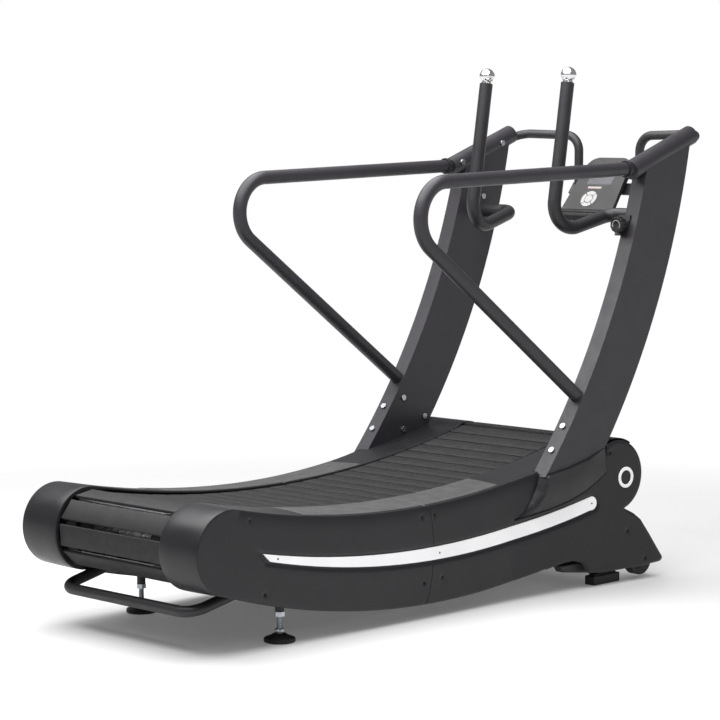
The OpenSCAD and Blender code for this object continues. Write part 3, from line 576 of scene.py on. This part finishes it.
def cover_profile(outer, fall, lip, roll=6):
    """Cross-section of a cap: (y, drop below the path) from the belt's side outward."""
    r = 4
    rim = [(COVER_Y + 5, lip), (COVER_Y + 0.4, lip), (COVER_Y, lip - 0.4), (COVER_Y, r)]
    rim += [
        (COVER_Y + r - r * math.cos(a), r - r * math.sin(a)) for a in (0.3, 0.6, 0.9, 1.2, 1.57)
    ]
    span = outer - roll - rim[-1][0]
    flat = [(rim[-1][0] + span * t, fall * t * t) for t in (0.25, 0.5, 0.75, 1)]
    rolled = [
        (outer - roll + roll * math.sin(a), fall + roll * (1 - math.cos(a)))
        for a in (0.3, 0.6, 0.9, 1.2, 1.5)
    ]
    return rim + flat + rolled


def cover_rows(points, normals, side, profiles):
    """A profile of (y, drop) set up at each point of a path."""
    return [
        [(p[0] - n[0] * d, side * y, p[1] - n[1] * d) for y, d in profile]
        for p, n, profile in zip(points, normals, profiles)
    ]


def rear_cap(side, name):
    """Deck cover from the rear drum's underside up to the seam."""
    drum, drum_n = drum_path(REAR_DRUM, REAR_CAP_R, 262, 79)
    deck, deck_n = deck_path(REAR_DRUM[0] + 26, PAD_ENDS[0][1])
    points, normals = np.concatenate((drum, deck)), np.concatenate((drum_n, deck_n))
    profiles = []
    for x, z in points:
        on_deck = smooth((x - REAR_DRUM[0] - 10) / 60) if z > REAR_DRUM[1] else 0
        top_fall = low_side(DECK, x) - low_side(TOP_EDGE, x)
        fall = 2 + (top_fall - 2) * on_deck
        outer = PANEL_Y - 5 - 3.5 * on_deck
        profiles.append(cover_profile(outer, float(fall), 12 - 6 * on_deck, 3))
    rows = cover_rows(points, normals, side, profiles)
    replaced = ("rear_cap_" + name,)
    return grid_piece("rear_cap_skin_" + name, rows, "cover_plastic", replaced, COVER_WALL)


# The front cap's raised lip: its height and where it ends round the drum, in degrees from X
LIP, LIP_END, CAP_END = 6, 58, -76
# The lip rises along the deck between these two distances
LIP_RISE = (515, 560)


def front_cap(side, name):
    """Deck cover from the seam past the upright, and round the front drum with a raised lip."""
    x0, x1 = UPRIGHT_GAP[:2]
    xs = [*np.linspace(PAD_ENDS[1][0], x0 - 0.1, 42), *np.linspace(x0 + 0.1, x1 - 0.1, 24)]
    xs = np.array([*xs, *np.linspace(x1 + 0.1, NOSE[0] - 16, 4)])
    deck = np.column_stack((xs, low_side(DECK, xs)))
    deck_n = (np.array(DECK[:2]) - deck) / DECK[2]
    front, front_n = drum_path(NOSE[:2], NOSE[2], 98, LIP_END + 0.2)
    under, under_n = drum_path(NOSE[:2], NOSE[2], LIP_END, CAP_END)
    points = np.concatenate((deck, front, under))
    normals = np.concatenate((deck_n, front_n, under_n))
    profiles = []
    for x, z in points:
        beside = x0 < x < x1 and z > NOSE[1]
        outer = UPRIGHT_GAP[2] if beside else PANEL_Y - PANEL_T - 0.5 + float(flare_out(x))
        fall = max(0, float(low_side(DECK, x) - low_side(TOP_EDGE, x))) if x < x1 else 0
        before_end = z > NOSE[1] + 60 and x < NOSE[0] + 55.5
        rise = smooth((x - LIP_RISE[0]) / (LIP_RISE[1] - LIP_RISE[0]))
        lip = LIP * float(rise) if before_end else 0
        share = (outer - COVER_Y) / (PANEL_Y - PANEL_T - COVER_Y)
        profile = cover_profile(outer, fall * share**2, 8, 1.5)
        profiles.append([(y, d - lip) for y, d in profile])
    rows = cover_rows(points, normals, side, profiles)
    replaced = ("front_cap_" + name,)
    return grid_piece("front_cap_skin_" + name, rows, "cover_plastic", replaced, COVER_WALL)


# ------------------------------------------------------------------ step pads


# A pad's thickness and diamonds: their pitch, slope, sharpness and height
PAD_T, DIAMOND_PITCH, DIAMOND_SLOPE, DIAMOND_SHARP, DIAMOND_T = 0.9, 13.0, 1.7, 2.6, 1.3
PAD_STEP, PAD_COLUMNS = 2.2, 56


def step_pad(side, number, x0, x1, slant):
    """A tread pad with raised diamonds and a soft edge, laid on the deck cover."""
    inner, outer = COVER_Y + 5, PANEL_Y - PANEL_T - 10
    rows = []
    for x in np.arange(x0, x1 + 0.1, PAD_STEP):
        row = []
        for k in range(PAD_COLUMNS + 1):
            share = k / PAD_COLUMNS
            y = inner + (outer - inner) * share
            end = x1 - slant * share
            px = x0 + (x - x0) * (end - x0) / (x1 - x0)
            ridge = 1.0
            for line in (px + y * DIAMOND_SLOPE, px - y * DIAMOND_SLOPE):
                turn = line / DIAMOND_PITCH
                ridge *= max(0.0, 1 - DIAMOND_SHARP * abs(turn - round(turn)))
            edge = min(share, 1 - share) * (outer - inner)
            edge = min(edge, px - x0, end - px)
            lift = 0.25 + (PAD_T + DIAMOND_T * ridge) * float(smooth(edge / 2.0))
            fall = float(low_side(DECK, px) - low_side(TOP_EDGE, px))
            share_y = (y - COVER_Y) / (PANEL_Y - PANEL_T - COVER_Y)
            row.append((px, side * y, float(low_side(DECK, px)) + lift - fall * share_y**2))
        rows.append(row)
    return grid_piece(f"step_pad_{number}", rows, "pad_rubber", angle=80)


# ---------------------------------------------------------------- running belt


def islands(node):
    """The separate bodies of a CAD node's mesh, each as an array of its corners in metres."""
    bm = bmesh.new()
    bm.from_mesh(NODES[node].data)
    bmesh.ops.remove_doubles(bm, verts=bm.verts, dist=1e-5)
    left = set(bm.verts)
    found = []
    while left:
        group, queue = [], [left.pop()]
        while queue:
            v = queue.pop()
            group.append(v)
            for e in v.link_edges:
                other = e.other_vert(v)
                if other in left:
                    left.remove(other)
                    queue.append(other)
        found.append(np.array([g.co[:] for g in group]))
    bm.free()
    return found


def slat_frames(node):
    """Each slat's middle, travel direction and thin direction, and half its three sizes."""
    frames = []
    for corners in islands(node):
        middle = corners.mean(0)
        flat = corners[:, [0, 2]] - middle[[0, 2]]
        far = flat[np.argmax(np.hypot(*flat.T))]
        _, axes = np.linalg.eigh(flat.T @ flat)
        travel, out = axes[:, 1], axes[:, 0]
        sizes = (np.abs(flat @ travel), np.abs(flat @ out), np.abs(corners[:, 1]))
        frames.append((middle, travel, out, *(size.max() for size in sizes)))
    return frames


# Treads, in metres: the rubber's gap at each long edge, and its ribs' pitch and height
TREAD_GAP, RIB_PITCH, RIB_T = 0.0015, 0.005, 0.0005


def outward(spot):
    """Roughly the way out of the belt's loop at a slat's middle, an (x, z) in metres."""
    rear, front = np.array(BELT_HUBS) * MM
    if spot[0] < rear[0] or spot[0] > front[0]:
        return spot - (rear if spot[0] < 0 else front)
    share = (spot[0] - rear[0]) / (front[0] - rear[0])
    line = rear[1] + share * (front[1] - rear[1])
    return np.array((0, 1 if spot[1] > line - 0.08 else -1))  # the upper run sags below the hubs


def slat_treads():
    """Every slat's rubber tread: rounded long edges, fine ribs along the belt's travel."""
    bm = bmesh.new()
    for middle, travel, out, half_w, half_t, half_l in slat_frames("slat_treads"):
        spot = np.array((middle[0], middle[2]))
        if out @ outward(spot) < 0:
            out = -out
        half_w -= TREAD_GAP
        edge = [(0, -half_t), (0, half_t - 0.0016), (0.0005, half_t - 0.0005), (0.0016, half_t)]
        stations = [(u - half_w, h) for u, h in edge] + [(half_w - u, h) for u, h in reversed(edge)]
        count = round(2 * half_l / RIB_PITCH)
        ys = []
        for k in range(count):
            y0 = -half_l + 2 * half_l * k / count
            w = 2 * half_l / count
            ys += [(y0, 1), (y0 + 0.3 * w, 1), (y0 + 0.42 * w, 0), (y0 + 0.88 * w, 0)]
        ys.append((half_l, 1))
        rows = []
        for y, low in ys:
            row = []
            for u, h in stations:
                if h > 0 and low:
                    h -= RIB_T
                p = spot + travel * u + out * h
                row.append(bm.verts.new((p[0], y, p[1])))
            rows.append(row)
        bridge(bm, rows)
        bm.faces.new(rows[0])
        bm.faces.new(list(reversed(rows[-1])))
    return new_piece("slat_treads_ribbed", bm, "belt_rubber", replaces=("slat_treads",), angle=25)


# ------------------------------------------------------------- turned pieces


def turned(
    name, profile, centre, axis, slot, body="chassis", replaces=(), lobes=0, lobe=0.0, sides=64
):
    """A profile of (radius, height) turned about an axis; lobes scallop its widest part."""
    widest = max(r for r, _ in profile)
    bm = bmesh.new()
    rings = []
    for r, h in profile:
        depth = lobe if lobes and r > widest * 0.9 else 0
        ring = []
        for k in range(sides):
            a = 2 * math.pi * k / sides
            reach = r - depth * (0.5 + 0.5 * math.cos(lobes * a))
            ring.append(bm.verts.new((reach * math.cos(a), reach * math.sin(a), h)))
        rings.append(ring)
    bridge_and_cap(bm, rings)
    bmesh.ops.remove_doubles(bm, verts=bm.verts, dist=0.001)
    spin = Vector((0, 0, 1)).rotation_difference(Vector(axis))
    for v in bm.verts:
        v.co = spin @ v.co + Vector(centre)
    return new_piece(name, bm, slot, body, replaces, unit=MM)


def hexagon(name, across_flats, z0, z1, centre, slot, body):
    """A nut: a hexagon with chamfered corners."""
    r = across_flats / math.sqrt(3)
    bm = bmesh.new()
    rings = []
    for share, h in ((0.86, z0), (1, z0 + 1.6), (1, z1 - 1.6), (0.86, z1)):
        ring = []
        for k in range(36):
            a = math.radians(10 * k)
            flat = across_flats / 2 / math.cos((a % (math.pi / 3)) - math.pi / 6)
            reach = min(flat, r * share)
            ring.append(bm.verts.new((reach * math.cos(a), reach * math.sin(a), h)))
        rings.append(ring)
    bridge_and_cap(bm, rings)
    bmesh.ops.translate(bm, vec=centre, verts=bm.verts)
    return new_piece(name, bm, slot, body, angle=25, unit=MM)


def level_foot(name):
    """Levelling foot: scalloped rubber pad, threaded stud and nut."""
    low, high = (Vector(c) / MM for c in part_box("level_foot_" + name))
    centre = ((low.x + high.x) / 2, (low.y + high.y) / 2, 0)
    body, r = "foot_" + name, (high.x - low.x) / 2
    pad = [(0, 0), (r - 3, 0), (r - 0.6, 1.2), (r, 3.4), (r, 9), (r - 1, 11.2), (r - 4, 12.6)]
    pad += [(r - 12, 15.4), (25, 17.4), (20.5, 19.8), (18.5, 21.8), (17.5, 22), (0, 22)]
    up, replaced = (0, 0, 1), ("level_foot_" + name,)
    turned("foot_pad_" + name, pad, centre, up, "foot_rubber", body, replaced, 28, 1.3, 168)
    thread, z = [(0, 21.5)], 21.5
    while z < high.z - 3:
        thread += [(6.7, z), (7.5, z + 0.9), (7.5, z + 1.3), (6.7, z + 2)]
        z += 2.2
    thread += [(6.0, high.z), (0, high.z)]
    turned("foot_stud_" + name, thread, centre, up, "zinc_steel", body, sides=32)
    hexagon("foot_nut_" + name, 23, 26, 35, centre, "zinc_steel", body)


# --------------------------------------------------------------- bent tubes


def bent_path(corners, radii, step=6):
    """Points along straight runs joined by round bends."""
    corners = [Vector(c) for c in corners]
    path = [corners[0]]
    for a, b, c, r in zip(corners, corners[1:], corners[2:], radii):
        u, v = (b - a).normalized(), (c - b).normalized()
        turn = u.angle(v)
        inward = (v - u * math.cos(turn)).normalized()
        start = b - u * r * math.tan(turn / 2)
        hub = start + inward * r
        count = max(6, round(math.degrees(turn) / step))
        for k in range(count + 1):
            t = turn * k / count
            path.append(hub - inward * r * math.cos(t) + u * r * math.sin(t))
    return path + [corners[-1]]


TUBE_WALL = 2.5


def tube(name, corners, bends, radius, slot, side=1, replaces=(), sides=40):
    """A bent tube with recessed ends and a rounded brim at each."""
    bore = radius - TUBE_WALL
    brim = [(0.8, radius), (0, radius - 0.8), (0, bore + 0.8), (0.8, bore), (8, bore)]
    path = [Vector((p.x, p.y * side, p.z)) for p in bent_path(corners, bends)]
    heading = (path[1] - path[0]).normalized()
    across = heading.orthogonal().normalized()
    bm = bmesh.new()
    rings = []

    def ring(at, along, r):
        up = along.cross(across)
        return [
            bm.verts.new(at + r * (math.cos(a) * across + math.sin(a) * up))
            for a in (2 * math.pi * k / sides for k in range(sides))
        ]

    count = len(path)
    for k, p in enumerate(path):
        ahead = (path[min(k + 1, count - 1)] - path[max(k - 1, 0)]).normalized()
        across = (across - ahead * across.dot(ahead)).normalized()
        if k == 0:
            rings += [ring(p + ahead * inset, ahead, r) for inset, r in reversed(brim)]
        elif k == count - 1:
            rings += [ring(p - ahead * inset, ahead, r) for inset, r in brim]
        else:
            rings.append(ring(p, ahead, radius))
    bridge_and_cap(bm, rings)
    return new_piece(name, bm, slot, replaces=replaces, unit=MM)


KNOB = (628, -340, 1054)
# The pointer arc: its radius, half width, steps, and the step from which it tapers to a point
ARC_R, ARC_HALF, ARC_STEPS, ARC_TAPER = 13.5, 1.1, 30, 26


def knob():
    """The brake knob: fluted body, inset glossy face and a plain pointer arc."""
    centre, axis = KNOB, (-1, 0, 0)
    body = [(0, -12), (17, -12), (22.5, -11), (24.6, -8.5), (25, -6), (24.6, 7.5), (23.4, 10.2)]
    body += [(21.2, 11.8), (19.2, 12), (18.8, 11.2), (0, 11.2)]
    turned("knob_body", body, centre, axis, "black_plastic", "knob", ("brake_knob",), 12, 2.6, 192)
    face = [(0, 11.15), (18.4, 11.15), (18.4, 11.5), (17.6, 11.75), (0, 11.9)]
    shine = turned("knob_face", face, centre, axis, "black_plastic", "knob")
    shine.data.materials[0] = LOOKS["knob_gloss"]
    bm = bmesh.new()
    rings = []
    for k in range(ARC_STEPS + 1):
        a = math.radians(-125 + 250 * k / ARC_STEPS)
        half = ARC_HALF if k < ARC_TAPER else 2.6 * (ARC_STEPS - k) / (ARC_STEPS - ARC_TAPER)
        inner, outer = ARC_R - half, ARC_R + half
        rings.append([
            bm.verts.new((-h, r * math.sin(a), r * math.cos(a)))
            for r, h in ((inner, 11.8), (inner, 12.2), (outer, 12.2), (outer, 11.8))
        ])
    bridge(bm, rings)
    bmesh.ops.remove_doubles(bm, verts=bm.verts, dist=0.001)
    bmesh.ops.translate(bm, vec=centre, verts=bm.verts)
    new_piece("knob_arc", bm, "key_silver", "knob", unit=MM)
    shaft = [(0, -52), (6, -52), (6, -11), (0, -11)]
    turned("knob_shaft", shaft, centre, axis, "zinc_steel", "knob", sides=32)


# Corners of the bent tubes' middle lines, and two points of the push grip's straight top
RAIL = ((715, 360, 1220), (-430, 360, 1184.5), (446, 360, 549))
GRIP_TOP, GRIP_BELOW = (603, 162, 1470), (531, 162, 1017)
CONSOLE_TUBE = ((885, 360, 1284), (990, 360, 1318), (996, 122, 1312), (996, 122, 1112))
LIFT = ((-770, -268, 158), (-972, -262, 112), (-972, 262, 112), (-770, 268, 158))


def tubes():
    """The handrails, the console's arms and the lift bar."""
    for name, side in (("left", 1), ("right", -1)):
        rail, arm = ("handrail_" + name,), ("console_tube_" + name,)
        tube("handrail_tube_" + name, RAIL, (100,), 20, "upright_paint", side, rail, 48)
        tube("console_arm_" + name, CONSOLE_TUBE, (45, 50), 14, "frame_paint", side, arm)
    tube("lift_bar_tube", LIFT, (50, 50), 15, "frame_paint", replaces=("lift_bar",), sides=48)


def chrome_ball(name, side):
    """The ball on top of a push grip, with its collar."""
    top = Vector(GRIP_TOP)
    axis = (top - Vector(GRIP_BELOW)).normalized()
    profile = [(0, 0.1), (15, 0.1), (16, 1), (16, 4), (14.2, 5), (13.4, 6.5), (13.6, 8)]
    profile += [
        (23 * math.sin(a), 24 - 23 * math.cos(a)) for a in np.radians(np.arange(38, 180, 6))
    ] + [(0, 47)]
    centre, axis = (top.x, top.y * side, top.z), (axis.x, axis.y * side, axis.z)
    replaced = ("grip_knobs",) if side > 0 else ()
    turned("grip_ball_" + name, profile, centre, axis, "chrome", replaces=replaced)


# -------------------------------------------------------------------- pieces

slots = {node: o.data.materials[0].name.split(".")[0] for node, o in NODES.items()}
for node, o in NODES.items():
    o.data.materials.clear()
    o.data.materials.append(LOOKS.get(slots[node], LOOKS["frame_paint"]))
    for polygon in o.data.polygons:
        polygon.use_smooth = True
    o.data.set_sharp_from_angle(angle=math.radians(30))


# Where the front panel's edge lies beside the upright's foot: x between these, z above this
FOOT_X, FOOT_Z = (254, 336), 343


def on_seam(x, z):
    """Whether a side panel's edge lies on the seam."""
    return abs(math.hypot(x - SEAM[0], z - SEAM[1]) - SEAM[2]) < 1.5 and x > SEAM[0]


def by_shroud(x, z):
    """Whether the front panel's edge lies on the seam, the blister or the upright's foot."""
    spot = np.array([(x, z)])
    beside = any(chain_distance(spot, c)[0] < 3 for c in (BLISTER_LOW, BLISTER_TOP, BLISTER_REAR))
    return on_seam(x, z) or beside or (FOOT_X[0] < x < FOOT_X[1] and z > FOOT_Z)


for name, side in (("left", 1), ("right", -1)):
    side_panel("rear_side_panel_" + name, side, on_seam)
    side_panel("front_side_panel_" + name, side, by_shroud)
    rear_cap(side, name)
    refined("upright_" + name, "upright_paint", 0.006, 4)
    front_cap(side, name)
    shroud("upright_shroud_" + name, side)
pads = [
    step_pad(side, n + (0 if side > 0 else 2), *span)
    for side in (1, -1)
    for n, span in enumerate(PAD_ENDS)
]
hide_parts("step_pads")
slat_treads()
for name, side in (("left", 1), ("right", -1)):
    level_foot(name)
    chrome_ball(name, side)
tubes()
knob()
# Nodes shown as modelled, with rounded edges: (slot, bevel in metres)
ROUNDED = {
    "console_shell": ("console_plastic", 0.0022), "console_tray": ("console_plastic", 0.0015),
    "knob_bracket": ("black_plastic", 0.0012), "front_feet": ("foot_rubber", 0.002),
    "zinc_bolts": ("zinc_steel", 0.0022), "rail_collars": ("black_plastic", 0.0012),
    "console_bracket": ("frame_paint", 0.001), "front_guard": ("cover_plastic", 0.0008),
    "status_bar": ("light_lens", 0.0008), "trim_strips": ("white_trim", 0.0008),
    "side_rings": ("white_trim", 0.0009), "panel_screws": ("black_steel", 0.0006),
    "grip_left": ("grip_paint", 0.0012), "grip_right": ("grip_paint", 0.0012),
}
for node, (slot, bevel) in ROUNDED.items():
    refined(node, slot, bevel)

# --------------------------------------------------------------------- stage


def floor():
    """A pale floor that fades into the white sweep away from the machine; near the machine a share
    of glow is painted light that lifts its shadows.
    """
    mesh = bpy.data.meshes.new("floor")
    bm = bmesh.new()
    bmesh.ops.create_grid(bm, x_segments=8, y_segments=8, size=60)
    bm.to_mesh(mesh)
    bm.free()
    made = bpy.data.objects.new("floor", mesh)
    bpy.context.scene.collection.objects.link(made)
    look = Surface("floor_paint_and_glow", (0.66, 0.66, 0.66), 0.5)
    look.tint(3, 0.01)
    # Emission mixed into the floor: painted light that lifts its shadows and lights the machine
    # from below
    glow = look.node("ShaderNodeEmission")
    blend = look.node("ShaderNodeMixShader")
    reach = look.node("ShaderNodeVectorMath", operation="LENGTH")
    look.link(look.place, reach.inputs[0])
    # The glow's share rises from 0.12 to all of it between 1.5 and 3 m from the machine's middle;
    # near the machine it is painted light that lightens the cast shadows
    share = look.ranged(reach.outputs["Value"], low=0.12, high=1, start=1.5, end=3.0)
    look.link(share, blend.inputs["Fac"])
    look.link(look.shader.outputs["BSDF"], blend.inputs[1])
    look.link(glow.outputs["Emission"], blend.inputs[2])
    look.link(blend.outputs["Shader"], look.tree.nodes["Material Output"].inputs["Surface"])
    mesh.materials.append(look.material)


def area_light(name, place, aim, size, power):
    """A rectangular soft box: size in metres, power in watts."""
    light = bpy.data.lights.new(name, "AREA")
    light.shape = "RECTANGLE"
    light.size, light.size_y = size
    light.energy = power
    made = bpy.data.objects.new(name, light)
    made.location = place
    made.rotation_euler = (Vector(aim) - Vector(place)).to_track_quat("-Z", "Y").to_euler()
    bpy.context.scene.collection.objects.link(made)


def studio():
    """A white sweep: bright to the eye, dimmer as a light, with three soft boxes."""
    world = bpy.data.worlds.new("studio")
    bpy.context.scene.world = world
    world.use_nodes = True
    tree = world.node_tree
    backdrop = tree.nodes["Background"]
    backdrop.inputs["Color"].default_value = (1, 1, 1, 1)
    fill = tree.nodes.new("ShaderNodeBackground")
    fill.inputs["Color"].default_value = (1, 1, 1, 1)
    fill.inputs["Strength"].default_value = 0.26
    path = tree.nodes.new("ShaderNodeLightPath")
    mix = tree.nodes.new("ShaderNodeMixShader")
    tree.links.new(path.outputs["Is Camera Ray"], mix.inputs["Fac"])
    tree.links.new(fill.outputs["Background"], mix.inputs[1])
    tree.links.new(backdrop.outputs["Background"], mix.inputs[2])
    tree.links.new(mix.outputs["Shader"], tree.nodes["World Output"].inputs["Surface"])
    bpy.context.scene.view_settings.view_transform = "Standard"
    area_light("top", (-0.9, 0.2, 3.4), (-0.3, 0, 0), (5.2, 4.2), 400)
    area_light("key", (-1.9, -3.2, 2.8), (-0.4, 0, 0.4), (1.6, 1.4), 10)
    area_light("rear", (-4.2, 1.2, 2.6), (-0.2, 0, 0.9), (1.6, 1.6), 5)


def camera():
    """A long lens from the rear right."""
    data = bpy.data.cameras.new("camera")
    made = bpy.data.objects.new("camera", data)
    bpy.context.scene.collection.objects.link(made)
    made.location = (-5.0737, -4.9656, 1.3506)
    made.rotation_euler = (1.4760, 0, -0.7858)
    data.sensor_width = 36
    data.lens = 124.5
    data.clip_end = 200
    bpy.context.scene.camera = made


floor()
studio()
camera()
